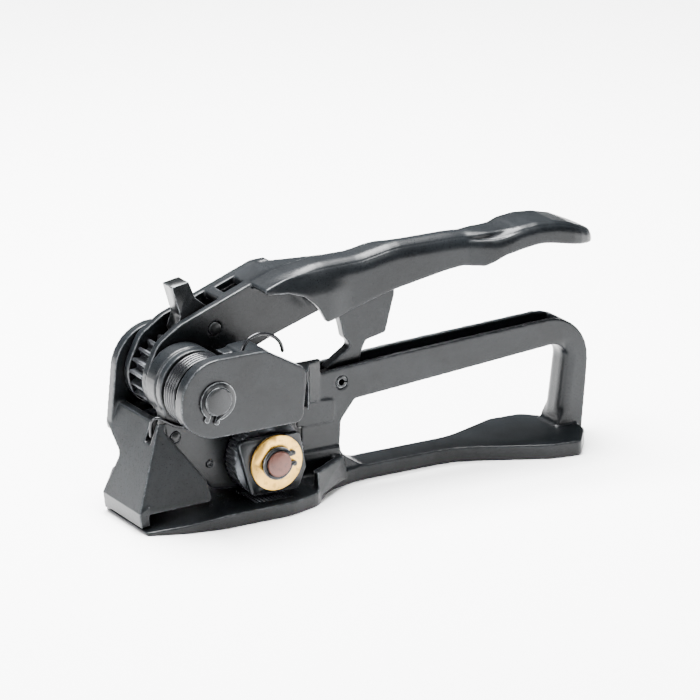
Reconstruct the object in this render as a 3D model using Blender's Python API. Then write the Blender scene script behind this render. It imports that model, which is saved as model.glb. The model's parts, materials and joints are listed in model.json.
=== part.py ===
"""Feed-wheel strapping tensioner.

A D-handled frame with a foot carries a fixed main shaft. A swinging carrier on that shaft
holds the feed wheel over a gripper plug in the foot, and a gear train in the carrier turns
the wheel. The tension handle, also on the main shaft, drives the top gear through a pawl.

Sizes are in millimetres and become metres in the mesh builders. X runs from the nose to the
heel, Y runs from the operator's near side to the far side, and Z is up. The origin lies on
the sole, under the feed wheel's axis.
"""
import math

import bmesh
import bpy
from mathutils import Matrix, Vector

MM = 0.001
GAP = 0.3                       # air kept between pieces that touch on the real tool

# Joint axes, all parallel to Y, as (x, z)
MAIN_AXIS = (-45.5, 86.0)
FEED_AXIS = (0.0, 35.0)
HOLD_PAWL_AXIS = (-59.9, 55.2)
DRIVE_PAWL_AXIS = (-19.0, 115.0)
ROCKER_AXIS = (64.0, 70.0)

# Gear train
MODULE = 2.4
DRIVE_TEETH = 18
IDLER_TEETH = 10
DRIVEN_TEETH = 19
ADDENDUM = 0.8                  # in modules
DEDENDUM = 1.2
GEAR_NEAR, GEAR_FAR = 13.0, 29.0

# Main shaft and what sits along it
MAIN_SHAFT_RADIUS = 9.5
MAIN_SHAFT_NEAR, MAIN_SHAFT_FAR = -47.5, 47.5
PLATE_NEAR, PLATE_FAR = -44.5, -35.5
HUB_NEAR, HUB_FAR = -15.5, 5.0
HUB_RADIUS = 25.0
GROOVE_NEAR, GROOVE_FAR = -9.4, -7.6
GROOVE_RADIUS = 23.4
BARREL_NEAR = -34.6
BARREL_RADIUS = 21.0
SPRING_RADIUS = 24.0
PRONG_RADIUS = 24.0
NEAR_PRONG = (6.0, 12.0)
FAR_PRONG = (30.0, 36.0)
EAR_NEAR, EAR_FAR = 37.0, 44.5
EAR_RADIUS = 29.5

# Feed shaft and what sits along it
FEED_SHAFT_RADIUS = 8.5
BLOCK_NEAR, BLOCK_FAR = -37.8, -32.8
FEED_SHAFT_NEAR, FEED_SHAFT_FAR = BLOCK_NEAR - 6.8, 39.5
WHEEL_NEAR, WHEEL_FAR = -30.6, -17.0
WHEEL_RADIUS = 25.2
ARM_NEAR, ARM_FAR = -15.1, -3.0
ARM_END_RADIUS = 24.6
WASHER_RADIUS = 18.4
STANDOFFS = ((20.0, 57.0), (-35.0, 33.0))
STANDOFF_RADIUS = 4.0
STANDOFF_STUD = 2.0
KEY_WIDTH = 3.4
IDLER_PIN_RADIUS = 4.0
HOLD_PIN_RADIUS = 3.5
DRIVE_PIN_RADIUS = 4.5
ROLL_PIN_RADIUS = 4.1
BUSH_WALL = 2.2
BUSH_SEAT = GAP + BUSH_WALL + GAP   # added to a shaft's radius for the bore round its bush
SPRING_WIRE = 1.38
PAWL_SPRING_WIRE = 0.5
PAWL_SPRING_TURN = 340.0            # degrees of wire in a pawl spring
THROUGH = (-60.0, 60.0)             # reach along Y of a cutter that passes right through

# Frame
FOOT_HEIGHT = 9.0
BAR_HEIGHT = 10.0
TIP_HEIGHT = 2.2
TIP_X = -91.0
RAMP_END_X = -40.0
D_NEAR, D_FAR = -13.0, 9.0
BRIDGE_TOP = 88.5
CHANNEL_NEAR, CHANNEL_FAR = -9.5, 5.5

# Nose
NOSE_CREASE_Z = 13.0
NOSE_TOP_Z = 66.0
NOSE_CREASE_X = -93.0
NOSE_LEAN = 19.6 / 52.7         # x gained per unit of height above the crease
NOSE_TAPER = 11.0 / 52.8        # y gained per unit of height on the near side
NOSE_WALL = 6.0
NOSE_SCREWS = ((-76.0, 18.75), (-52.0, 18.75))   # (x, y) of the screws through the foot

# Tension handle
HANDLE_NEAR, HANDLE_FAR = -13.0, 9.0

BLACK_CASTING = ("black_casting", (0.035, 0.037, 0.040, 1.0), 0.45, 0.6)
BLACK_STEEL = ("black_steel", (0.030, 0.031, 0.034, 1.0), 0.35, 0.8)
SPRING_STEEL = ("spring_steel", (0.055, 0.056, 0.060, 1.0), 0.30, 0.9)
GEAR_STEEL = ("gear_steel", (0.16, 0.16, 0.17, 1.0), 0.40, 1.0)
BRONZE = ("bronze", (0.80, 0.58, 0.28, 1.0), 0.35, 1.0)
COPPERED_STEEL = ("coppered_steel", (0.22, 0.11, 0.08, 1.0), 0.50, 0.7)


# ------------------------------------------------------------------ outlines

def rounded_outline(corners, arc_step=15.0):
    """Closed outline through (a, b, radius) corners, each replaced by an arc of its radius."""
    points = []
    for index, (a, b, radius) in enumerate(corners):
        here = Vector((a, b))
        if radius == 0:
            points.append(here)
            continue
        before = (Vector(corners[index - 1][:2]) - here).normalized()
        after = (Vector(corners[(index + 1) % len(corners)][:2]) - here).normalized()
        half = before.angle(after) / 2
        centre = here + (before + after).normalized() * radius / math.sin(half)
        start = here + before * radius / math.tan(half) - centre
        turn = math.pi - 2 * half
        if before.cross(after) > 0:
            turn = -turn
        steps = max(1, round(abs(math.degrees(turn)) / arc_step))
        for step in range(steps + 1):
            points.append(centre + Matrix.Rotation(turn * step / steps, 2) @ start)
    return points


def circle_points(centre, radius, segments=24):
    """Points of a circle in the outline plane."""
    return [Vector((centre[0] + radius * math.cos(math.tau * step / segments),
                    centre[1] + radius * math.sin(math.tau * step / segments)))
            for step in range(segments)]


def convex_outline(points):
    """Convex outline around the points, in order."""
    ordered = sorted({(round(p[0], 6), round(p[1], 6)) for p in points})

    def chain(sequence):
        kept = []
        for point in sequence:
            while len(kept) > 1:
                (ax, ay), (bx, by) = kept[-2], kept[-1]
                if (bx - ax) * (point[1] - ay) - (by - ay) * (point[0] - ax) > 1e-9:
                    break
                kept.pop()
            kept.append(point)
        return kept[:-1]

    return [Vector(p) for p in chain(ordered) + chain(reversed(ordered))]


def link_outline(*discs):
    """Outline of a link plate stretched round (centre, radius) discs."""
    points = []
    for centre, radius in discs:
        points += circle_points(centre, radius)
    return convex_outline(points)


def gear_outline(centre, teeth, turned_by=0.0):
    """Spur gear outline with straight-flanked teeth; turned_by is in tooth pitches."""
    pitch_radius = MODULE * teeth / 2
    tip = pitch_radius + ADDENDUM * MODULE
    root = pitch_radius - DEDENDUM * MODULE
    pitch = math.tau / teeth
    points = []
    for tooth in range(teeth):
        middle = pitch * (tooth + turned_by)
        for radius, share in ((root, -0.33), (tip, -0.11), (tip, 0.11), (root, 0.33)):
            angle = middle + pitch * share
            points.append(Vector((centre[0] + radius * math.cos(angle),
                                  centre[1] + radius * math.sin(angle))))
    return points


# ------------------------------------------------------------------ mesh builders

def new_object(name, mesh):
    """Object of the mesh, linked to the scene."""
    obj = bpy.data.objects.new(name, mesh)
    bpy.context.scene.collection.objects.link(obj)
    return obj


def finish_mesh(name, bm, smooth_angle=30.0):
    """Turn a bmesh in millimetres into an object in metres with outward faces."""
    bmesh.ops.recalc_face_normals(bm, faces=bm.faces)
    bmesh.ops.scale(bm, vec=(MM, MM, MM), verts=bm.verts)
    mesh = bpy.data.meshes.new(name)
    bm.to_mesh(mesh)
    bm.free()
    mesh.shade_smooth()
    mesh.set_sharp_from_angle(angle=math.radians(smooth_angle))
    return new_object(name, mesh)


def prism(name, outline, low, high, along="Y", shear=None):
    """Outline extruded from low to high.

    Along Y the outline is (x, z), along Z it is (x, y) and along X it is (y, z). shear maps a
    point to its sheared place.
    """
    place = {"Y": lambda a, b, c: (a, c, b),
             "Z": lambda a, b, c: (a, b, c),
             "X": lambda a, b, c: (c, a, b)}[along]
    bm = bmesh.new()
    near = [bm.verts.new(place(p[0], p[1], low)) for p in outline]
    far = [bm.verts.new(place(p[0], p[1], high)) for p in outline]
    bm.faces.new(near)
    bm.faces.new(far)
    for index in range(len(outline)):
        after = (index + 1) % len(outline)
        bm.faces.new((near[index], near[after], far[after], far[index]))
    if shear:
        for vert in bm.verts:
            vert.co = shear(vert.co)
    return finish_mesh(name, bm)


def box(name, low, high):
    """Box between two corners."""
    outline = [(low[0], low[2]), (high[0], low[2]), (high[0], high[2]), (low[0], high[2])]
    return prism(name, outline, low[1], high[1])


def hull(name, points):
    """Convex solid around the points."""
    bm = bmesh.new()
    for point in points:
        bm.verts.new(point)
    made = bmesh.ops.convex_hull(bm, input=bm.verts)
    spare = {item for item in made["geom_interior"] + made["geom_unused"]
             if isinstance(item, bmesh.types.BMVert)}
    bmesh.ops.delete(bm, geom=list(spare), context="VERTS")
    return finish_mesh(name, bm)


def turned(name, centre, profile, segments=32):
    """Closed (radius, y) profile turned round an axis parallel to Y through (x, z)."""
    bm = bmesh.new()
    rings = []
    for radius, y in profile:
        if radius == 0:
            rings.append([bm.verts.new((centre[0], y, centre[1]))] * segments)
            continue
        rings.append([bm.verts.new((p[0], y, p[1]))
                      for p in circle_points(centre, radius, segments)])
    for index, ring in enumerate(rings):
        following = rings[(index + 1) % len(rings)]
        for step in range(segments):
            after = (step + 1) % segments
            corners = []
            for vert in (ring[step], ring[after], following[after], following[step]):
                if vert not in corners:
                    corners.append(vert)
            if len(corners) > 2:
                bm.faces.new(corners)
    return finish_mesh(name, bm)


def rod(name, centre, radius, low, high, segments=32):
    """Plain round bar along Y."""
    return turned(name, centre, [(0, low), (radius, low), (radius, high), (0, high)], segments)


def bore(name, centre, radius, segments=32):
    """Cutter of a round hole right through a piece along Y."""
    return rod(name, centre, radius, *THROUGH, segments)


def tube(name, centre, inner, outer, low, high, segments=24):
    """Round tube along Y."""
    return turned(name, centre, [(inner, low), (outer, low), (outer, high), (inner, high)],
                  segments)


def wire(name, points, radius, sides=6):
    """Round wire swept through the points, closed at both ends."""
    bm = bmesh.new()
    points = [Vector(p) for p in points]
    side = Vector((0.0, 1.0, 0.0))
    rings = []
    for index, point in enumerate(points):
        before = points[max(index - 1, 0)]
        after = points[min(index + 1, len(points) - 1)]
        forward = (after - before).normalized()
        side = (side - forward * side.dot(forward)).normalized()
        up = forward.cross(side)
        rings.append([bm.verts.new(point + radius * (side * math.cos(a) + up * math.sin(a)))
                      for a in (math.tau * step / sides for step in range(sides))])
    for ring, following in zip(rings, rings[1:]):
        for step in range(sides):
            after = (step + 1) % sides
            bm.faces.new((ring[step], ring[after], following[after], following[step]))
    bm.faces.new(rings[0])
    bm.faces.new(rings[-1])
    return finish_mesh(name, bm, 60.0)


# ------------------------------------------------------------------ combining and placing

def hide_tool(tool):
    """Mark an object as a working shape of a Boolean."""
    tool.hide_render = True
    tool.display_type = "WIRE"


def combine(obj, tool, operation):
    """Add a Boolean with the tool to the object."""
    hide_tool(tool)
    modifier = obj.modifiers.new(operation.lower() + "_" + tool.name, "BOOLEAN")
    modifier.operation = operation
    modifier.object = tool
    modifier.solver = "EXACT"


def add(obj, *tools):
    """Union the tools into the object."""
    for tool in tools:
        combine(obj, tool, "UNION")


def cut(obj, *tools):
    """Cut the tools out of the object."""
    for tool in tools:
        combine(obj, tool, "DIFFERENCE")


def paint(obj, finish):
    """Give the object its own material from a (name, colour, roughness, metallic) finish."""
    label, colour, roughness, metallic = finish
    material = bpy.data.materials.new(obj.name + "_" + label)
    material.use_nodes = True
    shader = material.node_tree.nodes["Principled BSDF"]
    shader.inputs["Base Color"].default_value = colour
    shader.inputs["Roughness"].default_value = roughness
    shader.inputs["Metallic"].default_value = metallic
    material.diffuse_color = colour
    obj.data.materials.append(material)


def pivot(name, axis):
    """Empty on a joint axis, which a moving body's pieces hang from."""
    empty = bpy.data.objects.new(name, None)
    empty.location = (axis[0] * MM, 0.0, axis[1] * MM)
    bpy.context.scene.collection.objects.link(empty)
    return empty


def place(parent, finish, *pieces):
    """Paint the pieces and hang them from the parent, where they are."""
    for piece in pieces:
        paint(piece, finish)
        if parent:
            piece.parent = parent
            piece.matrix_parent_inverse = Matrix.Translation(-parent.location)


# ------------------------------------------------------------------ frame and nose

def foot_top(x):
    """Height of the foot's top face, which ramps up from the thin tip."""
    share = (x - TIP_X) / (RAMP_END_X - TIP_X)
    return TIP_HEIGHT + min(max(share, 0.0), 1.0) * (FOOT_HEIGHT - TIP_HEIGHT)


def make_base():
    """Foot, bottom bar and heel: a plan outline under a side profile."""
    side = [(TIP_X, 0), (260, 0), (260, BAR_HEIGHT), (58, BAR_HEIGHT), (40, FOOT_HEIGHT),
            (RAMP_END_X, FOOT_HEIGHT), (TIP_X, TIP_HEIGHT)]
    base = prism("frame", side, -60, 40)
    plan = rounded_outline([
        (TIP_X, -33.5, 2), (-66, -43, 25), (-42, -47.5, 30), (8, -47.5, 25), (31, -40, 14),
        (50, -20, 30), (78, D_NEAR, 40), (150, D_NEAR, 60), (207, -41, 14), (229, -45, 6),
        (245, -24, 12), (247, -2, 12), (224, 23, 10), (200, 24.5, 12), (158, D_FAR, 50),
        (75, D_FAR, 30), (42, 22.5, 14), (TIP_X, 22.5, 2)], 12)
    combine(base, prism("base_plan", plan, -5, 20, along="Z"), "INTERSECT")
    return base


def make_d_handle():
    """Closed D of the frame, with its top channel and the opening for the fingers."""
    outer = rounded_outline([
        (34, 4, 0), (250, 4, 0), (253, 40, 40), (256, 87, 31), (222, 86.5, 40), (109, 82.5, 0),
        (64, 80, 0), (34, 78, 3)], 12)
    inner = rounded_outline([
        (74, 57, 3), (109, 59.5, 0), (230, 68.5, 10), (237, 60, 10), (231, 10, 4), (80, 10, 12),
        (62.5, 22, 10), (63.5, 44, 6)], 15)
    channel = rounded_outline([
        (30, 60.5, 0), (88, 60.5, 4), (98, 65, 10), (232, 73, 5), (236, 100, 0), (30, 100, 0)])
    handle = prism("d_handle", outer, D_NEAR, D_FAR)
    cut(handle,
        prism("d_opening", inner, *THROUGH),
        prism("d_channel", channel, CHANNEL_NEAR, CHANNEL_FAR))
    return handle


def make_frame():
    """Frame casting: base, D-handle, side plate over the main shaft, and the bridge to it."""
    frame = make_base()
    plate = rounded_outline([
        (-71, 113, 27), (-10, 113, 12), (20, 96, 8), (17, 61, 6), (-52, 61, 20), (-71, 72, 18)],
        10)
    bridge = [(8, -38), (19, PLATE_NEAR + 1), (36, D_NEAR - 4), (48, D_NEAR), (48, -9.6),
              (8, -9.6)]
    bridge_root = [(31, -27), (37, -17), (48, D_NEAR), (48, -9.6), (31, -9.6)]
    flange = hull("web_flange", [
        (32, -38.5, 5), (32, -37, 21), (62, -19, 22), (67, -15.5, 5), (66, D_NEAR + 3, 18),
        (32, D_NEAR + 3, 22), (32, D_NEAR + 3, 5), (67, D_NEAR + 3, 5)])
    flange_pocket = [(28, -33), (28, D_NEAR - 2), (56, D_NEAR - 2), (55, -18)]
    cut(flange, prism("flange_pocket", flange_pocket, FOOT_HEIGHT + 2, 40, along="Z"))
    panel = rounded_outline([(30, 45, 0), (57.5, 45, 2), (58.5, 60, 4), (30, 61.5, 0)])
    add(frame,
        make_d_handle(),
        prism("side_plate", plate, PLATE_NEAR, PLATE_FAR),
        prism("bridge", bridge, 80, BRIDGE_TOP, along="Z"),
        prism("bridge_root", bridge_root, 61, BRIDGE_TOP, along="Z"),
        box("web_band", (32, D_NEAR - 1.5, 17), (62, D_NEAR + 2, 27)),
        prism("name_panel", panel, D_NEAR - 0.7, D_NEAR + 2),
        flange)
    cut(frame,
        bore("plate_bore", MAIN_AXIS, MAIN_SHAFT_RADIUS + GAP),
        box("plug_pocket", (-13, -37, 3.5), (13, -15, 20)),
        bore("pin_bore", ROCKER_AXIS, ROLL_PIN_RADIUS + GAP, 20))
    for index, (x, y) in enumerate(NOSE_SCREWS):
        cut(frame, turned_upright("screw_bore_%d" % index, (x, y), [
            (0, -1), (4.6, -1), (4.6, 2.3), (2.3, 2.3), (2.3, 12), (0, 12)], 20))
    return frame


def turned_upright(name, centre, profile, segments=20):
    """Closed (radius, z) profile turned round a vertical axis through (x, y)."""
    piece = turned(name, (0.0, 0.0), profile, segments)
    piece.data.transform(Matrix.Translation((centre[0] * MM, centre[1] * MM, 0))
                         @ Matrix.Rotation(math.pi / 2, 4, "X"))
    return piece


def make_nose():
    """Nose housing: leaning face, near guard panel, far wall and the far ear."""
    def lean(co):
        height = max(co.z - NOSE_CREASE_Z, 0.0)
        return Vector((co.x + NOSE_LEAN * height, co.y, co.z))

    def taper(co):
        return Vector((co.x, co.y + NOSE_TAPER * (co.z - NOSE_CREASE_Z), co.z))

    face_outline = rounded_outline([
        (-28, NOSE_CREASE_Z, 0), (22.5, NOSE_CREASE_Z, 0), (16.6, 39, 5), (EAR_FAR, 52, 4),
        (EAR_FAR, NOSE_TOP_Z, 0), (-17, NOSE_TOP_Z, 0)])
    nose = prism("nose_housing", face_outline, NOSE_CREASE_X, NOSE_CREASE_X + NOSE_WALL,
                 along="X", shear=lean)
    panel = rounded_outline([
        (NOSE_CREASE_X + 0.5, NOSE_CREASE_Z - 1.5, 0), (-40, NOSE_CREASE_Z - 0.5, 3),
        (-43, 26.5, 8), (-72.5, NOSE_TOP_Z, 0), (-73.4, NOSE_TOP_Z, 0),
        (NOSE_CREASE_X + 0.5, NOSE_CREASE_Z, 0)])
    lip = [(NOSE_CREASE_X, NOSE_CREASE_Z + 0.01), (NOSE_CREASE_X + 1.2, 3.4), (-86, 4.4),
           (-86, NOSE_CREASE_Z + 4)]
    wall_foot = foot_top(-48) + GAP
    wall = [(NOSE_CREASE_X + 1.3, TIP_HEIGHT + GAP), (TIP_X, TIP_HEIGHT + GAP),
            (-48, wall_foot), (-48, 16), (-64, 31), (-80, 31), (-86, 28),
            (NOSE_CREASE_X + 0.2, NOSE_CREASE_Z)]
    ear = convex_outline(circle_points(MAIN_AXIS, EAR_RADIUS, 40)
                         + [(-78.3, 51), (-77.4, 47), (-60, 47)])
    add(nose,
        prism("guard_panel", panel, -28, -24.6, shear=taper),
        prism("nose_lip", lip, -28, 22.5),
        prism("far_wall", wall, 15, 22.5),
        prism("far_ear", ear, EAR_NEAR, EAR_FAR))
    cut(nose,
        bore("ear_bore", MAIN_AXIS, MAIN_SHAFT_RADIUS + GAP),
        box("spring_notch", (-95, -14.5, 53), (-60, -7, 80)))
    for index, (x, y) in enumerate(NOSE_SCREWS):
        cut(nose, turned_upright("nose_thread_%d" % index, (x, y), [
            (0, 0), (2.3, 0), (2.3, 14.5), (0, 14.5)], 20))
    return nose


def make_ring(name, axis, groove_radius, outer, low, high, open_angle=-60.0):
    """External retaining ring: an open band with two ears."""
    ring = tube(name, axis, groove_radius + GAP, outer, low, high, 28)
    direction = math.radians(open_angle)
    reach = Vector((math.cos(direction), math.sin(direction)))
    across = Vector((-reach.y, reach.x))
    centre = Vector(axis)
    mouth = [centre + reach * 1.0 - across * 2.0, centre + reach * 30 - across * 2.0,
             centre + reach * 30 + across * 2.0, centre + reach * 1.0 + across * 2.0]
    for side in (-1, 1):
        ear = centre + reach * (outer + 0.6) + across * side * 3.6
        add(ring, rod("%s_ear_%d" % (name, side + 1), ear, 1.9, low + 0.001, high - 0.001, 12))
    cut(ring, prism(name + "_mouth", mouth, low - 1, high + 1))
    return ring


def make_main_shaft():
    """Fixed shaft with a groove for a retaining ring at each end."""
    groove = MAIN_SHAFT_RADIUS - 1.5
    low, high = MAIN_SHAFT_NEAR, MAIN_SHAFT_FAR
    chamfer = 0.8
    return turned("main_shaft", MAIN_AXIS, [
        (0, low), (MAIN_SHAFT_RADIUS - chamfer, low), (MAIN_SHAFT_RADIUS, low + chamfer),
        (MAIN_SHAFT_RADIUS, -46.4), (groove, -46.4), (groove, -44.8),
        (MAIN_SHAFT_RADIUS, -44.8), (MAIN_SHAFT_RADIUS, 44.8), (groove, 44.8), (groove, 46.4),
        (MAIN_SHAFT_RADIUS, 46.4), (MAIN_SHAFT_RADIUS, high - chamfer),
        (MAIN_SHAFT_RADIUS - chamfer, high), (0, high)], 32)


def make_plug():
    """Gripper plug with cross grooves, seated in the foot under the feed wheel."""
    plug = box("gripper_plug", (-12.7, -36.7, 3.8), (12.7, -15.3, 9.4))
    for index in range(-4, 5):
        x = index * 2.6
        cut(plug, prism("plug_groove_%d" % (index + 4),
                        [(x - 0.9, 9.8), (x, 8.6), (x + 0.9, 9.8)], *THROUGH))
    return plug


def make_screw(name, centre):
    """Socket-head screw seen from the sole, holding the nose to the foot."""
    screw = turned_upright(name, centre, [
        (0, 0.3), (4.3, 0.3), (4.3, 2.0), (2.0, 2.0), (2.0, 13.8), (0, 13.8)])
    socket = [(centre[0] + 2.0 * math.cos(math.tau * step / 6),
               centre[1] + 2.0 * math.sin(math.tau * step / 6)) for step in range(6)]
    cut(screw, prism(name + "_socket", socket, -1, 1.6, along="Z"))
    return screw


def make_roll_pin():
    """Split spring pin that the release rocker turns on."""
    pin = tube("roll_pin", ROCKER_AXIS, 2.2, ROLL_PIN_RADIUS, D_NEAR + 0.4, D_FAR - 0.4, 20)
    x, z = ROCKER_AXIS
    cut(pin, box("pin_split", (x + 1, D_NEAR - 1, z - 0.4), (x + 8, D_FAR + 1, z + 0.4)))
    return pin


def make_frame_pieces():
    """Everything that stays still."""
    place(None, BLACK_CASTING, make_frame(), make_nose())
    place(None, BLACK_STEEL, make_main_shaft(), make_roll_pin(),
          make_ring("shaft_ring_near", MAIN_AXIS, MAIN_SHAFT_RADIUS - 1.5, 12.6,
                    -46.1, -45.0, -110.0),
          make_ring("shaft_ring_far", MAIN_AXIS, MAIN_SHAFT_RADIUS - 1.5, 12.6,
                    45.0, 46.1, 60.0))
    place(None, GEAR_STEEL, make_plug())
    for index, centre in enumerate(NOSE_SCREWS):
        place(None, BLACK_STEEL, make_screw("nose_screw_%d" % (index + 1), centre))
    place(None, SPRING_STEEL, make_main_spring())


# ------------------------------------------------------------------ springs

def coil(axis, radius, start, end, low, high, steps_per_turn=18):
    """Points of a helix round an axis parallel to Y, between two angles in degrees."""
    steps = max(2, round(abs(end - start) / 360 * steps_per_turn))
    points = []
    for step in range(steps + 1):
        share = step / steps
        angle = math.radians(start + (end - start) * share)
        points.append((axis[0] + radius * math.cos(angle), low + (high - low) * share,
                       axis[1] + radius * math.sin(angle)))
    return points


def make_main_spring():
    """Torsion spring: a hook over the carrier's lug, the coil, and a leg into the nose."""
    hook = [(9.4, -31.5, 105.2), (8.6, -31.5, 110.6), (5.0, -31.5, 115.8), (-1.5, -31.6, 119.6),
            (-9.5, -31.8, 121),
            (-17, -32.1, 118.2), (-21.5, -32.5, 111), (-23.0, -32.8, 104)]
    body = coil(MAIN_AXIS, SPRING_RADIUS, 30, -1890, -33.2, -17.9)
    leg = [(-53, -17.6, 61.9), (-60, -17.4, 63.2), (-66, -17.1, 66.9), (-70.3, -15.4, 69.9),
           (-73.8, -12.2, 69.8), (-75.2, -11.0, 66), (-75.4, -10.8, 61.5),
           (-74.8, -10.8, 56.5)]
    return wire("main_spring", hook + body + leg, SPRING_WIRE, 8)


def make_pawl_spring(name, axis, radius, near, far, start):
    """Small torsion spring beside a pawl."""
    turn = coil(axis, radius, start, start + PAWL_SPRING_TURN, near, far)
    return wire(name, turn, PAWL_SPRING_WIRE)


# ------------------------------------------------------------------ carrier

def idler_axis():
    """Centre that meshes with both the drive gear and the driven gear."""
    main, feed = Vector(MAIN_AXIS), Vector(FEED_AXIS)
    to_main = MODULE * (DRIVE_TEETH + IDLER_TEETH) / 2
    to_feed = MODULE * (DRIVEN_TEETH + IDLER_TEETH) / 2
    span = (feed - main).length
    along = (to_main ** 2 - to_feed ** 2 + span ** 2) / (2 * span)
    aside = math.sqrt(max(to_main ** 2 - along ** 2, 0.0))
    direction = (feed - main) / span
    return main + direction * along + Vector((-direction.y, direction.x)) * aside


def mesh_phase(centre, other, teeth, toward_tooth):
    """Pitches to turn a gear by, so a tooth or a gap faces the other centre."""
    offset = Vector(other) - Vector(centre)
    angle = math.atan2(offset.y, offset.x)
    return angle / (math.tau / teeth) + (0.0 if toward_tooth else 0.5)


def make_carrier():
    """Swinging carrier: hub, arm to the feed shaft, spring lug and release tail."""
    carrier = turned("carrier", MAIN_AXIS, [
        (0, BARREL_NEAR), (BARREL_RADIUS, BARREL_NEAR), (BARREL_RADIUS, HUB_NEAR),
        (HUB_RADIUS, HUB_NEAR), (HUB_RADIUS, GROOVE_NEAR), (GROOVE_RADIUS, GROOVE_NEAR),
        (GROOVE_RADIUS, GROOVE_FAR), (HUB_RADIUS, GROOVE_FAR), (HUB_RADIUS, HUB_FAR),
        (0, HUB_FAR)], 48)
    arm = link_outline((MAIN_AXIS, 23.0), (FEED_AXIS, ARM_END_RADIUS), (HOLD_PAWL_AXIS, 6.0),
                       (STANDOFFS[0], 6.0), (STANDOFFS[1], 6.0), ((-46.5, 38.5), 6.0),
                       ((-30, 21), 6.0))
    lug = rounded_outline([
        (-16, 92, 0), (-19, 107, 4), (-1, 108, 3), (4, 103, 3), (3, 97, 2), (-6, 90, 4)])
    lug_root = [(-24, 92), (-24, 105), (1, 105), (1, 93)]
    tail = [(-30, 84), (6, 84), (32, 81), (32, 73.6), (24, 73.6), (-30, 71)]
    add(carrier,
        prism("arm", arm, ARM_NEAR, ARM_FAR),
        prism("spring_lug", lug, -33, -4),
        prism("lug_root", lug_root, ARM_NEAR + 0.6, ARM_FAR - 1),
        prism("release_tail", tail, -8.2, 2.8))
    cut(carrier,
        bore("hub_bore", MAIN_AXIS, MAIN_SHAFT_RADIUS + BUSH_SEAT),
        bore("arm_bore", FEED_AXIS, FEED_SHAFT_RADIUS + BUSH_SEAT),
        bore("idler_bore", idler_axis(), IDLER_PIN_RADIUS + GAP, 20),
        bore("hold_pin_bore", HOLD_PAWL_AXIS, HOLD_PIN_RADIUS + GAP, 20))
    for index, centre in enumerate(STANDOFFS):
        cut(carrier, bore("arm_standoff_bore_%d" % index, centre, STANDOFF_STUD + GAP, 16))
    return carrier


def make_gear_plate():
    """Outer plate of the gear train, on two standoffs."""
    plate = prism("gear_plate", link_outline((idler_axis(), 8.0), (FEED_AXIS, 15.0),
                                             (STANDOFFS[0], 6.0), (STANDOFFS[1], 6.0)),
                  *FAR_PRONG)
    cut(plate,
        bore("plate_feed_bore", FEED_AXIS, FEED_SHAFT_RADIUS + BUSH_SEAT),
        bore("plate_idler_bore", idler_axis(), IDLER_PIN_RADIUS + GAP, 20))
    for index, centre in enumerate(STANDOFFS):
        cut(plate, bore("plate_standoff_bore_%d" % index, centre, STANDOFF_STUD + GAP, 16))
    return plate


def make_standoff(index):
    """Shouldered stud between the arm and the gear plate."""
    stud, head = STANDOFF_STUD, FAR_PRONG[1] + GAP
    near, far = ARM_FAR + GAP, FAR_PRONG[0] - GAP
    return turned("gear_standoff_%d" % (index + 1), STANDOFFS[index], [
        (0, -15), (stud, -15), (stud, near), (STANDOFF_RADIUS, near), (STANDOFF_RADIUS, far),
        (stud, far), (stud, head), (4.2, head), (3.4, head + 2.3), (0, head + 2.3)], 20)


def make_bearing_block():
    """Outboard bearing of the feed shaft."""
    outline = rounded_outline([
        (-27.7, 52.5, 4), (18.3, 52, 3), (22.8, 27.5, 3), (17.3, 14, 4), (-16.7, 14.5, 3)])
    block = prism("bearing_block", outline, BLOCK_NEAR, BLOCK_FAR)
    cut(block, bore("block_bore", FEED_AXIS, FEED_SHAFT_RADIUS + BUSH_SEAT))
    return block


def make_bush(name, axis, shaft_radius, low, high):
    """Plain bearing bush."""
    return tube(name, axis, shaft_radius + GAP, shaft_radius + GAP + BUSH_WALL,
                low + 0.1, high - 0.1)


def make_hold_pawl():
    """Pawl that stops the drive gear from running back, with its nose clear of the tips."""
    x, z = MAIN_AXIS
    nose = rounded_outline([(-60, 61.4, 0), (x + 2.2, 61.9, 0.8), (x, 57.5, 2), (-56, 50, 0),
                            (-62, 52, 0)])
    pawl = prism("hold_pawl", link_outline((HOLD_PAWL_AXIS, 6.3)), 16, 26)
    add(pawl, prism("hold_nose", nose, 16.001, 25.999))
    cut(pawl, bore("hold_pawl_bore", HOLD_PAWL_AXIS, HOLD_PIN_RADIUS + GAP, 20))
    return pawl


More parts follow.
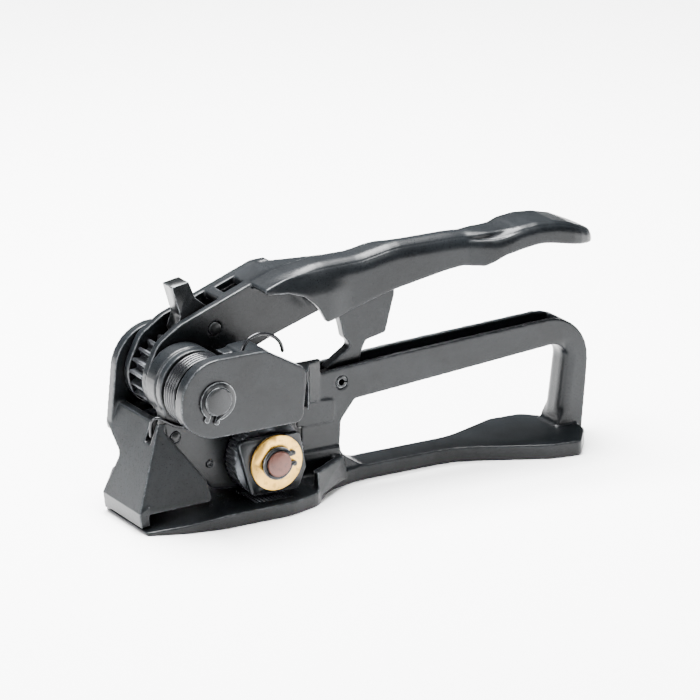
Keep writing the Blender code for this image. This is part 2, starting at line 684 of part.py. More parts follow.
def make_carrier_pieces():
    """Carrier body and everything that stays with it."""
    swing = pivot("carrier_pivot", MAIN_AXIS)
    place(swing, BLACK_CASTING, make_carrier(), make_gear_plate(), make_bearing_block())
    place(swing, BRONZE,
          make_bush("hub_bush", MAIN_AXIS, MAIN_SHAFT_RADIUS, BARREL_NEAR, HUB_FAR),
          make_bush("arm_bush", FEED_AXIS, FEED_SHAFT_RADIUS, HUB_NEAR, ARM_FAR),
          make_bush("block_bush", FEED_AXIS, FEED_SHAFT_RADIUS, BLOCK_NEAR, BLOCK_FAR),
          make_bush("gear_plate_bush", FEED_AXIS, FEED_SHAFT_RADIUS, *FAR_PRONG))
    place(swing, BLACK_STEEL,
          make_standoff(0), make_standoff(1),
          rod("idler_pin", idler_axis(), IDLER_PIN_RADIUS, -15.2, 35.8, 20),
          turned("hold_pawl_pin", HOLD_PAWL_AXIS, [
              (0, -15.2), (HOLD_PIN_RADIUS, -15.2), (HOLD_PIN_RADIUS, ARM_FAR + GAP),
              (6.0, ARM_FAR + GAP), (6.0, 15.7), (HOLD_PIN_RADIUS, 15.7),
              (HOLD_PIN_RADIUS, 28.8), (0, 28.8)], 20))
    place(swing, SPRING_STEEL,
          make_pawl_spring("hold_pawl_spring", HOLD_PAWL_AXIS, 5.0, 27.0, 29.0, 0.0))
    swivel = pivot("hold_pawl_pivot", HOLD_PAWL_AXIS)
    place(swivel, GEAR_STEEL, make_hold_pawl())


def make_gears():
    """Drive gear on the main shaft, idler, and the feed shaft with its wheel."""
    idler = idler_axis()
    spin = pivot("drive_gear_pivot", MAIN_AXIS)
    drive = prism("drive_gear", gear_outline(MAIN_AXIS, DRIVE_TEETH, mesh_phase(
        MAIN_AXIS, idler, DRIVE_TEETH, True)), GEAR_NEAR, GEAR_FAR)
    cut(drive, bore("drive_bore", MAIN_AXIS, MAIN_SHAFT_RADIUS + BUSH_SEAT))
    place(spin, GEAR_STEEL, drive)
    place(spin, BRONZE, make_bush("drive_gear_bush", MAIN_AXIS, MAIN_SHAFT_RADIUS,
                                  GEAR_NEAR, GEAR_FAR))

    idler_spin = pivot("idler_pivot", idler)
    idler_gear = prism("idler_gear", gear_outline(idler, IDLER_TEETH, mesh_phase(
        idler, MAIN_AXIS, IDLER_TEETH, False)), GEAR_NEAR, GEAR_FAR)
    add(idler_gear, rod("idler_collar", idler, 6.8, ARM_FAR + GAP, GEAR_NEAR + 1, 20))
    cut(idler_gear, bore("idler_gear_bore", idler, IDLER_PIN_RADIUS + GAP, 20))
    place(idler_spin, GEAR_STEEL, idler_gear)

    feed_spin = pivot("feed_pivot", FEED_AXIS)
    place(feed_spin, GEAR_STEEL, make_driven_gear(idler), make_feed_wheel())
    place(feed_spin, COPPERED_STEEL, make_feed_shaft())
    place(feed_spin, BLACK_STEEL,
          make_ring("feed_ring_near", FEED_AXIS, FEED_SHAFT_RADIUS - 1.2, 11.0,
                    BLOCK_NEAR - 4.4, BLOCK_NEAR - 3.2, 8.0),
          make_ring("feed_ring_far", FEED_AXIS, FEED_SHAFT_RADIUS - 1.2, 11.0,
                    36.6, 37.8, 90.0),
          make_key("wheel_key", WHEEL_NEAR + 1, WHEEL_FAR - 1),
          make_key("gear_key", GEAR_NEAR + 1, GEAR_FAR - 1))
    place(feed_spin, BRONZE,
          tube("brass_washer", FEED_AXIS, FEED_SHAFT_RADIUS + GAP, WASHER_RADIUS,
               BLOCK_NEAR - 2.8, BLOCK_NEAR - 0.4, 48),
          tube("inner_washer", FEED_AXIS, FEED_SHAFT_RADIUS + GAP, 15.0,
               BLOCK_FAR + GAP, WHEEL_NEAR - GAP),
          tube("arm_washer", FEED_AXIS, FEED_SHAFT_RADIUS + GAP, 15.0, -16.7, -15.4))


def make_key(name, low, high):
    """Square key half in the feed shaft."""
    half = KEY_WIDTH / 2
    top = FEED_AXIS[1] + FEED_SHAFT_RADIUS
    return box(name, (-half, low, top - half), (half, high, top + half))


def keyway(name, low, high):
    """Cutter of a keyway on the feed shaft, with air round the key."""
    half = KEY_WIDTH / 2 + GAP
    top = FEED_AXIS[1] + FEED_SHAFT_RADIUS
    return box(name, (-half, low, top - half), (half, high, top + half))


def make_feed_shaft():
    """Feed shaft with two ring grooves and two keyways."""
    radius, groove = FEED_SHAFT_RADIUS, FEED_SHAFT_RADIUS - 1.2
    low, high = FEED_SHAFT_NEAR, FEED_SHAFT_FAR
    slot_near, slot_far = BLOCK_NEAR - 4.7, BLOCK_NEAR - 3.0
    shaft = turned("feed_shaft", FEED_AXIS, [
        (0, low), (radius - 0.6, low), (radius, low + 0.6), (radius, slot_near),
        (groove, slot_near), (groove, slot_far), (radius, slot_far), (radius, 36.3),
        (groove, 36.3), (groove, 38.1), (radius, 38.1), (radius, high), (0, high)], 32)
    cut(shaft, keyway("wheel_keyway", WHEEL_NEAR + 0.7, WHEEL_FAR - 0.7),
        keyway("gear_keyway", GEAR_NEAR + 0.7, GEAR_FAR - 0.7))
    return shaft


def make_feed_wheel(teeth=48):
    """Feed wheel with fine cross teeth round its rim."""
    outline = []
    for step in range(2 * teeth):
        radius = WHEEL_RADIUS - (0.7 if step % 2 else 0.0)
        angle = math.tau * step / (2 * teeth)
        outline.append((FEED_AXIS[0] + radius * math.cos(angle),
                        FEED_AXIS[1] + radius * math.sin(angle)))
    wheel = prism("feed_wheel", outline, WHEEL_NEAR, WHEEL_FAR)
    cut(wheel, bore("wheel_bore", FEED_AXIS, FEED_SHAFT_RADIUS + GAP),
        keyway("wheel_slot", *THROUGH))
    return wheel


def make_driven_gear(idler):
    """Gear keyed to the feed shaft, turned so that it meshes with the idler."""
    to_main = Vector(MAIN_AXIS) - idler
    to_feed = Vector(FEED_AXIS) - idler
    between = math.atan2(to_feed.y, to_feed.x) - math.atan2(to_main.y, to_main.x)
    facing = math.atan2(-to_feed.y, -to_feed.x)
    phase = facing * DRIVEN_TEETH / math.tau + between * IDLER_TEETH / math.tau
    gear = prism("driven_gear", gear_outline(FEED_AXIS, DRIVEN_TEETH, phase),
                 GEAR_NEAR, GEAR_FAR)
    cut(gear, bore("driven_bore", FEED_AXIS, FEED_SHAFT_RADIUS + GAP),
        keyway("gear_slot", *THROUGH))
    return gear


# ------------------------------------------------------------------ tension handle

def make_prong(name, low, high, rear, rear_top):
    """Fork prong: an eye on the main shaft under the handle's sloping top line."""
    x, z = MAIN_AXIS
    eye = [(x + PRONG_RADIUS * math.cos(math.radians(angle)),
            z + PRONG_RADIUS * math.sin(math.radians(angle)), 0)
           for angle in range(150, 346, 15)]
    outline = rounded_outline(eye + [
        (11, 98, 4), (26, 104, 3), (rear, 100 + 0.25 * rear, 0), (rear, rear_top, 0),
        (23, 146.4, 0), (8, 140.9, 0), (-44, 121.5, 14), (-60, 111, 10)])
    return prism(name, outline, low, high)


def make_shell():
    """Channel-section lever from the fork to the thumb pad, open underneath."""
    outer = rounded_outline([
        (0, 138.4, 2), (24, 147.2, 20), (50, 151.4, 40), (80, 151.6, 30), (106, 156.3, 40),
        (150, 156.2, 60), (184, 153.6, 40), (204, 156, 40), (230, 154, 40), (250, 146, 5),
        (252, 141, 2),
        (240, 138.5, 30), (214, 141, 30), (184, 135.5, 30), (146, 133.5, 60), (101, 126, 40),
        (59, 114.5, 4), (52, 113, 2), (46, 124, 14), (36, 133, 14), (24, 137, 12)], 14)
    hollow = rounded_outline([
        (-5, 90, 0), (-5, 134, 0), (24, 143, 20), (71, 146.5, 0), (106, 151.8, 30),
        (156, 151.6, 20), (186, 149, 6), (182, 125, 10), (101, 100, 0)])
    shell = prism("tension_handle", outer, HANDLE_NEAR, HANDLE_FAR)
    cut(shell, prism("handle_hollow", hollow, HANDLE_NEAR + 3.5, HANDLE_FAR - 3.5))
    return shell


def make_thumb_pad():
    """Widened end of the lever."""
    plan = rounded_outline([
        (158, HANDLE_NEAR + 1, 0), (178, -20, 14), (210, -21.5, 30), (240, -21, 18),
        (255, -15, 14), (260, -2, 10), (255, 11, 14), (240, 17, 18), (210, 17.5, 30),
        (178, 16, 14), (158, HANDLE_FAR - 1, 0)], 14)
    side = rounded_outline([
        (152, 151.5, 0), (180, 151.5, 40), (203, 157, 40), (230, 155, 40), (252, 145.5, 30),
        (262, 139.5, 2), (260, 134.5, 2), (240, 137.5, 30), (211, 143.5, 40), (184, 138.5, 20),
        (171, 132.4, 6), (152, 134, 0)], 14)
    pad = prism("thumb_pad", side, *THROUGH)
    combine(pad, prism("pad_plan", plan, 120, 170, along="Z"), "INTERSECT")
    return pad


def make_handle():
    """Tension handle: fork, top web with its window, shell, thumb pad and release toe."""
    handle = make_shell()
    web = [(-13, 127.8), (25, 141.5), (25, 147), (-13, 133.2)]
    sweep = hull("fork_sweep", [
        (20, 30.2, 105), (20, 35.9, 105), (20, 30.2, 145.2), (20, 35.9, 145.2),
        (88, 4.5, 124), (88, 8.8, 124), (88, 4.5, 150), (88, 8.8, 150)])
    web_sweep = hull("web_sweep", [
        (20, 11.6, 137.5), (20, 33, 137.5), (20, 11.6, 145), (20, 33, 145),
        (86, 5, 145.5), (86, 8.6, 145.5), (86, 5, 150.3), (86, 8.6, 150.3)])
    toe = rounded_outline([
        (64, 120, 0), (68, 106, 6), (70, 97, 3), (76, 92, 3), (56.5, 79.2, 1),
        (57.5, 77.3, 1), (68, 77.2, 4), (73.5, 72.6, 2), (79.5, 71.0, 1), (83, 86, 3),
        (86, 93, 3), (101, 96, 2), (108, 122, 0), (104, 153.5, 0), (70, 149, 0)])
    add(handle,
        make_prong("near_prong", *NEAR_PRONG, 60, 150.4),
        make_prong("far_prong", *FAR_PRONG, 34, 147.0),
        prism("fork_web", web, 11.5, 30.5),
        sweep, web_sweep,
        prism("release_toe", toe, -6, 2),
        make_thumb_pad())
    window = [(-7, 120), (7, 125), (7, 150), (-7, 145)]
    cut(handle,
        prism("web_window", window, 15, 27),
        bore("prong_bore", MAIN_AXIS, MAIN_SHAFT_RADIUS + BUSH_SEAT),
        bore("pawl_pin_bore", DRIVE_PAWL_AXIS, DRIVE_PIN_RADIUS + GAP, 20))
    return handle


def make_drive_pawl():
    """Driving pawl with its thumb lever; the nose stays clear of the gear's tips."""
    outline = rounded_outline([
        (-45, 144.3, 0.8), (-33, 146.3, 0.8), (-28.5, 135, 4), (-13, 122, 3), (-11.5, 112, 4),
        (-20, 107.2, 3), (-30, 106.9, 2), (-39.6, 109.6, 0.6), (-42.5, 114.5, 3),
        (-39, 124, 4)])
    pawl = prism("drive_pawl", outline, 14.5, 27.5)
    cut(pawl, bore("drive_pawl_bore", DRIVE_PAWL_AXIS, DRIVE_PIN_RADIUS + GAP, 20))
    return pawl


def make_handle_pieces():
    """Tension handle body with its drive pawl."""
    swing = pivot("handle_pivot", MAIN_AXIS)
    place(swing, BLACK_CASTING, make_handle())
    radius, chamfer = DRIVE_PIN_RADIUS, 0.5
    place(swing, BLACK_STEEL, turned("drive_pawl_pin", DRIVE_PAWL_AXIS, [
        (0, 5.4), (radius - chamfer, 5.4), (radius, 5.4 + chamfer), (radius, 36.7 - chamfer),
        (radius - chamfer, 36.7), (0, 36.7)], 20))
    place(swing, BRONZE,
          make_bush("near_prong_bush", MAIN_AXIS, MAIN_SHAFT_RADIUS, *NEAR_PRONG),
          make_bush("far_prong_bush", MAIN_AXIS, MAIN_SHAFT_RADIUS, *FAR_PRONG))
    place(swing, SPRING_STEEL,
          make_pawl_spring("drive_pawl_spring", DRIVE_PAWL_AXIS, 6.0, 28.2, 29.4, 180.0))
    swivel = pivot("drive_pawl_pivot", DRIVE_PAWL_AXIS)
    place(swivel, BLACK_STEEL, make_drive_pawl())


def make_rocker():
    """Release rocker in the frame's channel, under the carrier's tail."""
    swivel = pivot("rocker_pivot", ROCKER_AXIS)
    outline = rounded_outline([
        (27, 70, 1), (27, 73.2, 1), (36, 73.4, 2), (58, 74.6, 4), (64, 76, 5), (70, 71.5, 3),
        (79, 69.6, 1), (79, 66.6, 1), (70, 66, 3), (64, 63.6, 5), (56, 66, 4)])
    rocker = prism("release_rocker", outline, -8.4, 4.4)
    cut(rocker, bore("rocker_bore", ROCKER_AXIS, ROLL_PIN_RADIUS + GAP, 20))
    place(swivel, BLACK_STEEL, rocker)


def main():
    """Build the whole tool in an empty scene."""
    for obj in list(bpy.data.objects):
        bpy.data.objects.remove(obj, do_unlink=True)
    make_frame_pieces()
    make_carrier_pieces()
    make_gears()
    make_handle_pieces()
    make_rocker()


main()
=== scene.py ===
import json
import math

import bmesh
import bpy
import numpy as np
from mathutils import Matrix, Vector


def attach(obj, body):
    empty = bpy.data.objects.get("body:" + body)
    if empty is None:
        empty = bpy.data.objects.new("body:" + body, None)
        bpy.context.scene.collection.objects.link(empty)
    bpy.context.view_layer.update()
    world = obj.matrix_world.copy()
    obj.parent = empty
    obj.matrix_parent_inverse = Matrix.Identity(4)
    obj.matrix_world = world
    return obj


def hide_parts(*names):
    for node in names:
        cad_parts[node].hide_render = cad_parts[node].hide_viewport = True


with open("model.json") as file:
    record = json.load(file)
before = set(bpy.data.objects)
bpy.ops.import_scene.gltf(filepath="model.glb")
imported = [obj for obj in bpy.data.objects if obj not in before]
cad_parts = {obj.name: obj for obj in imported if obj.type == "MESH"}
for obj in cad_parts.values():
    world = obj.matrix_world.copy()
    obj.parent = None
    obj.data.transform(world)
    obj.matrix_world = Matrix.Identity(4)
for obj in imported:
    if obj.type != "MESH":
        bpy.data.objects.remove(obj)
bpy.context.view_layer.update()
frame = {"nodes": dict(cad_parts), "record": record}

MM = 0.001

# Camera: the direction that the object is seen from, and the point that it looks at
CAMERA_AZIMUTH = -30.5          # degrees, from the near side towards the nose
CAMERA_ELEVATION = 18.5
CAMERA_DISTANCE = 3.0336
CAMERA_TARGET = Vector((0.0385, -0.0664, 0.1118))
CAMERA_LENS = 246.9
CAMERA_SENSOR = 36.0

BODY_OF = {node: body
           for body, nodes in frame["record"]["behaviour"]["bodies"].items() for node in nodes}
SLOT_OF = {part["node"]: part["material_slot"] for part in frame["record"]["subparts"]}

# Finishes
EDGE_REACH = 0.0010             # how far a rubbed edge reaches
PAINTED_SHADE_REACH = 0.014             # how near a wall must be for painted shade to darken a gap or corner
# colour of the painted shade laid into gaps and corners
PAINTED_SHADE = (0.0012, 0.0012, 0.0012)
MACHINED_EDGE_REACH = 0.0005    # rubbed edge on machined metal

# Lever and D-handle, in millimetres
LEVER_MIDDLE_Y = -2.0           # middle of the lever's width
CROWN_RADIUS = 10.8             # rounding of the lever's top, along its barrel
PAD_CUT = 3.8                   # how much smaller that rounding is at the thumb pad
LIP_DEPTH = 2.6                 # how far the boot's lip stands out
GRIP_NEAR_Y, GRIP_FAR_Y = -13.0, 9.0
GRIP_RADIUS = 8.0               # rounding of the D-handle's upright
SLICE = 2.0                     # width of a slice when an outline is read from a mesh

# Lights: place, size and power of each soft box
LIGHT_TARGET = (0.06, 0.0, 0.07)
SOFT_BOXES = {
    "overhead": ((0.1, 0.4, 1.8), 1.3, 400.0),
    "key": ((-1.9, 0.2, 1.0), 0.7, 70.0),
    "fill": ((0.5, -2.0, 2.2), 0.8, 34.0),
}
SKY_STRENGTH = 0.1
FLOOR_SIZE = 9.0
FLOOR_DROP = 0.0002             # air between the floor and the sole


# ------------------------------------------------------------------ materials

class Finish:
    """One procedural material, built node by node on a Principled shader."""

    def __init__(self, name, metallic, specular=0.5):
        self.material = bpy.data.materials.new(name)
        self.material.use_nodes = True
        self.nodes = self.material.node_tree.nodes
        self.links = self.material.node_tree.links
        self.shader = self.nodes["Principled BSDF"]
        self.shader.inputs["Metallic"].default_value = metallic
        self.shader.inputs["Specular IOR Level"].default_value = specular
        self.place = self.nodes.new("ShaderNodeTexCoord").outputs["Object"]

    def noise(self, scale, detail=3.0, roughness=0.5, stretch=None):
        """Noise over the object's own space, with scale in features per metre."""
        node = self.nodes.new("ShaderNodeTexNoise")
        node.inputs["Scale"].default_value = scale
        node.inputs["Detail"].default_value = detail
        node.inputs["Roughness"].default_value = roughness
        if stretch is None:
            self.links.new(self.place, node.inputs["Vector"])
        else:
            mapping = self.nodes.new("ShaderNodeMapping")
            mapping.inputs["Scale"].default_value = stretch
            self.links.new(self.place, mapping.inputs["Vector"])
            self.links.new(mapping.outputs["Vector"], node.inputs["Vector"])
        return node.outputs["Fac"]

    def spread(self, value, low, high, to_low, to_high):
        """Value mapped from low..high to to_low..to_high, clamped."""
        node = self.nodes.new("ShaderNodeMapRange")
        node.inputs["From Min"].default_value = low
        node.inputs["From Max"].default_value = high
        node.inputs["To Min"].default_value = to_low
        node.inputs["To Max"].default_value = to_high
        self.links.new(value, node.inputs["Value"])
        return node.outputs["Result"]

    def times(self, first, second):
        """Product of two values."""
        node = self.nodes.new("ShaderNodeMath")
        node.operation = "MULTIPLY"
        self.links.new(first, node.inputs[0])
        self.links.new(second, node.inputs[1])
        return node.outputs[0]

    def mixed(self, share, first, second):
        """Colour between first and second; each is a socket or a constant."""
        node = self.nodes.new("ShaderNodeMix")
        node.data_type = "RGBA"
        self.links.new(share, node.inputs["Factor"])
        for name, colour in (("A", first), ("B", second)):
            socket = [s for s in node.inputs if s.name == name and s.type == "RGBA"][0]
            if isinstance(colour, tuple):
                socket.default_value = (*colour, 1.0)
            else:
                self.links.new(colour, socket)
        return [s for s in node.outputs if s.type == "RGBA"][0]

    def edges(self, radius):
        """Share of edge at a point: how far a rounded normal leaves the true one."""
        bevel = self.nodes.new("ShaderNodeBevel")
        bevel.samples = 6
        bevel.inputs["Radius"].default_value = radius
        geometry = self.nodes.new("ShaderNodeNewGeometry")
        dot = self.nodes.new("ShaderNodeVectorMath")
        dot.operation = "DOT_PRODUCT"
        self.links.new(bevel.outputs["Normal"], dot.inputs[0])
        self.links.new(geometry.outputs["Normal"], dot.inputs[1])
        return self.spread(dot.outputs["Value"], 0.998, 0.90, 0.0, 1.0)

    def openness(self, reach):
        """How open the surface is to its surroundings, from 0 deep in a gap to 1; the mask of the
        painted shade.
        """
        node = self.nodes.new("ShaderNodeAmbientOcclusion")
        node.samples = 8
        node.inputs["Distance"].default_value = reach
        return node.outputs["AO"]

    def bump(self, height, strength, distance, under=None):
        """Bump from a height, on top of another normal where one is given."""
        node = self.nodes.new("ShaderNodeBump")
        node.inputs["Strength"].default_value = strength
        node.inputs["Distance"].default_value = distance
        self.links.new(height, node.inputs["Height"])
        if under is not None:
            self.links.new(under, node.inputs["Normal"])
        return node.outputs["Normal"]

    def set(self, name, value):
        self.links.new(value, self.shader.inputs[name])


def black_finish(name, dark, light, metallic, roughness, grain, grain_depth, wear, wear_share,
                 specular):
    """Black coating on steel: cloudy tone, cast or ground grain, painted shade in gaps and
    corners, and rubbed edges.
    """
    finish = Finish(name, metallic, specular)
    cloud = finish.noise(34.0, 4.0, 0.6)
    speck = finish.noise(grain, 5.0, 0.65)
    unshaded = finish.openness(PAINTED_SHADE_REACH)
    tone = finish.mixed(finish.spread(cloud, 0.35, 0.65, 0.0, 1.0), dark, light)
    # painted shade: the tone goes to near black where nearby walls close the surface in
    tone = finish.mixed(finish.spread(unshaded, 0.35, 0.85, 0.0, 1.0), PAINTED_SHADE, tone)
    rub = finish.times(finish.edges(EDGE_REACH),
                       finish.spread(finish.noise(260.0, 4.0, 0.6), 0.36, 0.66, 0.12, wear_share))
    finish.set("Base Color", finish.mixed(finish.times(rub, unshaded), tone, wear))
    finish.set("Roughness", finish.spread(speck, 0.3, 0.7, roughness - 0.07, roughness + 0.09))
    coarse = finish.bump(finish.noise(420.0, 2.0, 0.5), 0.35, 0.00012)
    finish.set("Normal", finish.bump(speck, 0.5, grain_depth, coarse))
    return finish.material


def machined_finish(name, dark, light, metallic, roughness, lay, depth, stain=None):
    """Machined metal: fine lay marks one way, a slow change of tone, and bright edges."""
    finish = Finish(name, metallic)
    cloud = finish.noise(60.0, 4.0, 0.6)
    marks = finish.noise(900.0, 3.0, 0.6, lay)
    tone = finish.mixed(finish.spread(cloud, 0.35, 0.65, 0.0, 1.0), dark, light)
    if stain is not None:
        blot = finish.spread(finish.noise(240.0, 5.0, 0.7), 0.52, 0.68, 0.0, 0.75)
        tone = finish.mixed(blot, tone, stain)
    rub = finish.times(finish.edges(MACHINED_EDGE_REACH), finish.spread(cloud, 0.3, 0.7, 0.2, 0.7))
    bright = tuple(min(1.0, 1.7 * channel + 0.03) for channel in light)
    finish.set("Base Color", finish.mixed(rub, tone, bright))
    finish.set("Roughness", finish.spread(marks, 0.3, 0.7, roughness - 0.06, roughness + 0.1))
    finish.set("Normal", finish.bump(marks, 0.4, depth))
    return finish.material


CASTING = black_finish("cast_black", (0.0030, 0.0038, 0.0046), (0.0065, 0.0078, 0.0092), 0.12,
                       0.31, 1400.0, 0.00005, (0.42, 0.45, 0.48), 0.95, 0.22)
STEEL = black_finish("black_steel", (0.003, 0.0035, 0.004), (0.008, 0.009, 0.0105), 0.3, 0.30,
                     2600.0, 0.00002, (0.42, 0.45, 0.47), 0.9, 0.36)
SPRING = black_finish("spring_wire", (0.006, 0.0065, 0.0075), (0.013, 0.014, 0.016), 0.5, 0.22,
                      3000.0, 0.00001, (0.16, 0.165, 0.175), 0.3, 0.5)
GEAR = machined_finish("gear_steel", (0.022, 0.024, 0.027), (0.052, 0.056, 0.062), 0.8, 0.32,
                       (1.0, 0.12, 1.0), 0.00002)
BRASS = machined_finish("brass", (0.52, 0.295, 0.055), (0.70, 0.43, 0.11), 0.85, 0.36,
                        (1.0, 1.0, 1.0), 0.00003, (0.20, 0.10, 0.025))
COPPERED = machined_finish("coppered_steel", (0.070, 0.026, 0.018), (0.125, 0.050, 0.036), 0.35,
                           0.40, (1.0, 1.0, 1.0), 0.00003, (0.035, 0.018, 0.016))

MATERIAL_OF_SLOT = {
    "black_casting": CASTING,
    "black_steel": STEEL,
    "spring_steel": SPRING,
    "gear_steel": GEAR,
    "bronze": BRASS,
    "coppered_steel": COPPERED,
}


# ------------------------------------------------------------------ mesh work

def arrays(mesh):
    """Vertex places and edge ends of a mesh."""
    places = np.empty(len(mesh.vertices) * 3)
    mesh.vertices.foreach_get("co", places)
    ends = np.empty(len(mesh.edges) * 2, dtype=np.int64)
    mesh.edges.foreach_get("vertices", ends)
    return places.reshape(-1, 3), ends.reshape(-1, 2)


def neighbour_mean(places, ends):
    """Mean of each vertex's neighbours."""
    count = len(places)
    degree = np.bincount(ends.ravel(), minlength=count).clip(1)
    total = np.empty_like(places)
    for axis in range(3):
        total[:, axis] = (np.bincount(ends[:, 0], places[ends[:, 1], axis], count)
                          + np.bincount(ends[:, 1], places[ends[:, 0], axis], count))
    return total / degree[:, None]


def relax(mesh, rounds, weight=1.0):
    """Laplacian smoothing, with one weight or one for each vertex."""
    places, ends = arrays(mesh)
    share = np.broadcast_to(weight, len(places))[:, None] * 0.5
    for _ in range(rounds):
        places += share * (neighbour_mean(places, ends) - places)
    mesh.vertices.foreach_set("co", places.ravel())
    mesh.update()


def fillet_corners(mesh, rounds):
    """Smoothing of the inner corners alone, which fills them as a casting's fillets do."""
    for _ in range(rounds):
        places, ends = arrays(mesh)
        normals = np.empty(len(mesh.vertices) * 3)
        mesh.vertices.foreach_get("normal", normals)
        pull = neighbour_mean(places, ends) - places
        hollow = np.einsum("ij,ij->i", pull, normals.reshape(-1, 3))
        weight = (hollow / (0.03 * MM)).clip(0.0, 1.0)
        for _ in range(2):
            weight = np.maximum(weight, neighbour_mean(weight[:, None] * np.ones(3), ends)[:, 0])
        places += 0.5 * weight[:, None] * pull
        mesh.vertices.foreach_set("co", places.ravel())
        mesh.update()


def outline_along(along, across, low, high, pick):
    """Outermost value of across in slices of along, as a function of along."""
    edges = np.arange(low, high + SLICE * MM, SLICE * MM)
    stations, values = [], []
    for start, stop in zip(edges, edges[1:]):
        inside = (along >= start) & (along < stop)
        if inside.any():
            stations.append((start + stop) / 2)
            values.append(pick(across[inside]))
    return lambda at: np.interp(at, stations, values)


def fade(value, start, stop):
    """Smooth step from 0 at start to 1 at stop, either way round."""
    share = ((value - start) / (stop - start)).clip(0.0, 1.0)
    return share * share * (3.0 - 2.0 * share)


def round_corner(first, second, radius):
    """Moves, along two inward directions, that turn a square corner into a round one.

    first and second are depths below the corner's two faces. A point keeps its place where
    either depth is more than the radius.
    """
    a, b = (radius - first).clip(0.0, None), (radius - second).clip(0.0, None)
    longest = np.maximum(a, b)
    length = np.hypot(a, b)
    inside = (a > 0) & (b > 0)
    share = np.where(inside, longest / np.where(length > 0, length, 1.0), 1.0)
    return a * (1.0 - share), b * (1.0 - share)


def linked(name, mesh):
    """New object in the scene."""
    piece = bpy.data.objects.new(name, mesh)
    bpy.context.scene.collection.objects.link(piece)
    return piece


def with_modifiers_applied(piece):
    """The piece's mesh as its modifiers leave it."""
    graph = bpy.context.evaluated_depsgraph_get()
    mesh = bpy.data.meshes.new_from_object(piece.evaluated_get(graph))
    piece.modifiers.clear()
    old, piece.data = piece.data, mesh
    bpy.data.meshes.remove(old)
    return mesh


def dress(piece, node):
    """The piece stands in for the CAD node, which is hidden: it rides the node's body and wears
    the finish of the node's slot.
    """
    piece.data.materials.clear()
    piece.data.materials.append(MATERIAL_OF_SLOT[SLOT_OF[node]])
    piece.data.polygons.foreach_set("use_smooth", [True] * len(piece.data.polygons))
    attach(piece, BODY_OF[node])
    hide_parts(node)
    return piece


def casting(name, node, voxel, rounds, shape=None):
    """Casting from a CAD node: fine even mesh, rounded edges and filled inner corners."""
    piece = linked(name, frame["nodes"][node].data.copy())
    remesh = piece.modifiers.new("remesh", "REMESH")
    remesh.mode = "VOXEL"
    remesh.voxel_size = voxel
    mesh = with_modifiers_applied(piece)
    relax(mesh, rounds)
    if shape is not None:
        places, _ = arrays(mesh)
        shape(places)
        mesh.vertices.foreach_set("co", places.ravel())
        mesh.update()
    fillet_corners(mesh, 14)
    relax(mesh, 2)
    return dress(piece, node)


def machined(name, node, width, segments=2, angle=32.0):
    """Machined piece from a CAD node, with its sharp edges broken by a small bevel."""
    piece = linked(name, frame["nodes"][node].data.copy())
    work = bmesh.new()
    work.from_mesh(piece.data)
    bmesh.ops.remove_doubles(work, verts=work.verts, dist=0.002 * MM)
    bmesh.ops.dissolve_limit(work, angle_limit=math.radians(1.0), verts=work.verts,
                             edges=work.edges)
    work.to_mesh(piece.data)
    work.free()
    bevel = piece.modifiers.new("bevel", "BEVEL")
    bevel.width = width
    bevel.segments = segments
    bevel.limit_method = "ANGLE"
    bevel.angle_limit = math.radians(angle)
    bevel.harden_normals = True
    with_modifiers_applied(piece)
    return dress(piece, node)


# ------------------------------------------------------------------ pieces

def crown_lever(places):
    """Rounds the lever's top across its width, and thickens the lip of its boot."""
    x, y, z = places.T
    spine = abs(y - LEVER_MIDDLE_Y * MM) < 4 * MM
    top_at = outline_along(x[spine], z[spine], 30 * MM, 256 * MM, np.max)
    near_at = outline_along(x, y, 4 * MM, 262 * MM, np.min)
    behind_fork = x > 92 * MM
    far_at = outline_along(x[behind_fork], y[behind_fork], 92 * MM, 262 * MM, np.max)
    depth = top_at(x) - z
    radius = (CROWN_RADIUS - PAD_CUT * fade(x, 176 * MM, 200 * MM)) * MM
    for inward, face_at, reach in ((1.0, near_at, fade(x, 8 * MM, 52 * MM)),
                                   (-1.0, far_at, fade(x, 92 * MM, 118 * MM))):
        side = (y - face_at(x)) * inward
        down, in_from_side = round_corner(depth, side, radius)
        places[:, 2] -= down * reach
        places[:, 1] += in_from_side * reach * inward
    lip = fade(y, -8 * MM, -12 * MM) * fade(x, 74 * MM, 52 * MM) * fade(x, -4 * MM, 22 * MM)
    places[:, 1] -= LIP_DEPTH * MM * lip * fade(z, 146 * MM, 132 * MM)


def round_grip_end(places):
    """Rounds the inner edges of the D-handle's upright and of its bars."""
    x, y, z = places.T
    post = (x > 214 * MM) & (z > 16 * MM) & (z < 62 * MM)
    inner_at = outline_along(z[post], x[post], 16 * MM, 62 * MM, np.min)
    depth = x - inner_at(z)
    reach = fade(x, 205 * MM, 216 * MM) * fade(z, 12 * MM, 24 * MM) * fade(z, 72 * MM, 60 * MM)
    near, far = y - GRIP_NEAR_Y * MM, GRIP_FAR_Y * MM - y
    for inward, side in ((1.0, near), (-1.0, far)):
        along, across = round_corner(depth, side, GRIP_RADIUS * MM)
        places[:, 0] += along * reach
        places[:, 1] += across * reach * inward


def spring(name, node):
    """Spring from a CAD node, with its wire made round and even."""
    piece = linked(name, frame["nodes"][node].data.copy())
    work = bmesh.new()
    work.from_mesh(piece.data)
    bmesh.ops.remove_doubles(work, verts=work.verts, dist=0.002 * MM)
    bmesh.ops.join_triangles(work, faces=work.faces, angle_face_threshold=3.1,
                             angle_shape_threshold=3.1)
    work.to_mesh(piece.data)
    work.free()
    subdivide = piece.modifiers.new("subdivide", "SUBSURF")
    subdivide.levels = 2
    with_modifiers_applied(piece)
    return dress(piece, node)


def make_castings():
    """Frame, nose, handle and carrier."""
    casting("frame_casting", "frame", 0.6 * MM, 4, round_grip_end)
    casting("nose_casting", "nose_housing", 0.5 * MM, 3)
    casting("lever_casting", "tension_handle", 0.6 * MM, 5, crown_lever)
    casting("carrier_casting", "carrier", 0.6 * MM, 3)


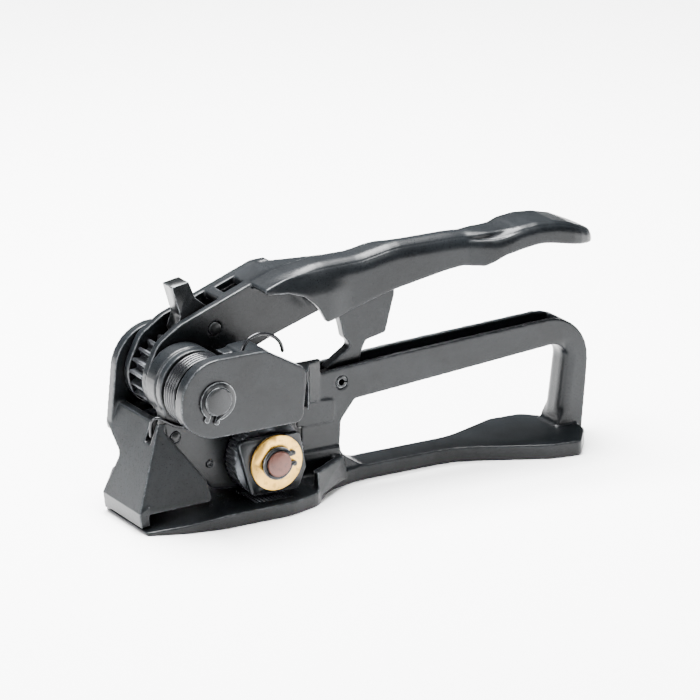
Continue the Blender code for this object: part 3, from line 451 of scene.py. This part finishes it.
def make_machined_pieces():
    """Everything else keeps its CAD shape, with broken edges."""
    done = {"frame", "nose_housing", "tension_handle", "carrier"}
    widths = {"feed_shaft": 0.8, "main_shaft": 0.8, "bearing_block": 0.9, "gear_plate": 0.8}
    for node in sorted(frame["nodes"]):
        if SLOT_OF[node] == "spring_steel":
            spring(node + "_finished", node)
        elif node not in done:
            machined(node + "_finished", node, widths.get(node, 0.25) * MM)


# ------------------------------------------------------------------ stage

def make_floor():
    """Plain pale floor under the object."""
    work = bmesh.new()
    bmesh.ops.create_grid(work, x_segments=8, y_segments=8, size=FLOOR_SIZE)
    mesh = bpy.data.meshes.new("floor")
    work.to_mesh(mesh)
    work.free()
    floor = linked("floor", mesh)
    floor.location.z = -FLOOR_DROP
    finish = Finish("floor_paper", 0.0, 0.2)
    tone = finish.mixed(finish.noise(3.0, 2.0, 0.5), (0.91, 0.91, 0.91), (0.94, 0.94, 0.94))
    finish.set("Base Color", tone)
    finish.shader.inputs["Roughness"].default_value = 0.85
    mesh.materials.append(finish.material)


def area_light(name, place, size, power):
    """Square soft box at a place, facing the object."""
    lamp = bpy.data.lights.new(name, "AREA")
    lamp.shape = "SQUARE"
    lamp.size = size
    lamp.energy = power
    light = linked(name, lamp)
    light.location = place
    back = Vector(place) - Vector(LIGHT_TARGET)
    light.rotation_euler = back.to_track_quat("Z", "Y").to_euler()


def make_lights():
    """A large overhead box, a key from the nose end, a high fill from the near side, a dim sky."""
    for name, (place, size, power) in SOFT_BOXES.items():
        area_light(name, place, size, power)
    world = bpy.data.worlds.new("studio")
    bpy.context.scene.world = world
    world.use_nodes = True
    sky = world.node_tree.nodes["Background"]
    sky.inputs["Color"].default_value = (1.0, 1.0, 1.0, 1.0)
    sky.inputs["Strength"].default_value = SKY_STRENGTH


def make_camera():
    """Long lens, looking from the nose end at the near side."""
    azimuth, elevation = math.radians(CAMERA_AZIMUTH), math.radians(CAMERA_ELEVATION)
    back = Vector((math.sin(azimuth) * math.cos(elevation),
                   -math.cos(azimuth) * math.cos(elevation), math.sin(elevation)))
    lens = bpy.data.cameras.new("camera")
    lens.lens = CAMERA_LENS
    lens.sensor_width = CAMERA_SENSOR
    camera = linked("camera", lens)
    camera.location = CAMERA_TARGET + back * CAMERA_DISTANCE
    camera.rotation_euler = back.to_track_quat("Z", "Y").to_euler()
    bpy.context.scene.camera = camera


make_camera()
make_castings()
make_machined_pieces()
make_floor()
make_lights()
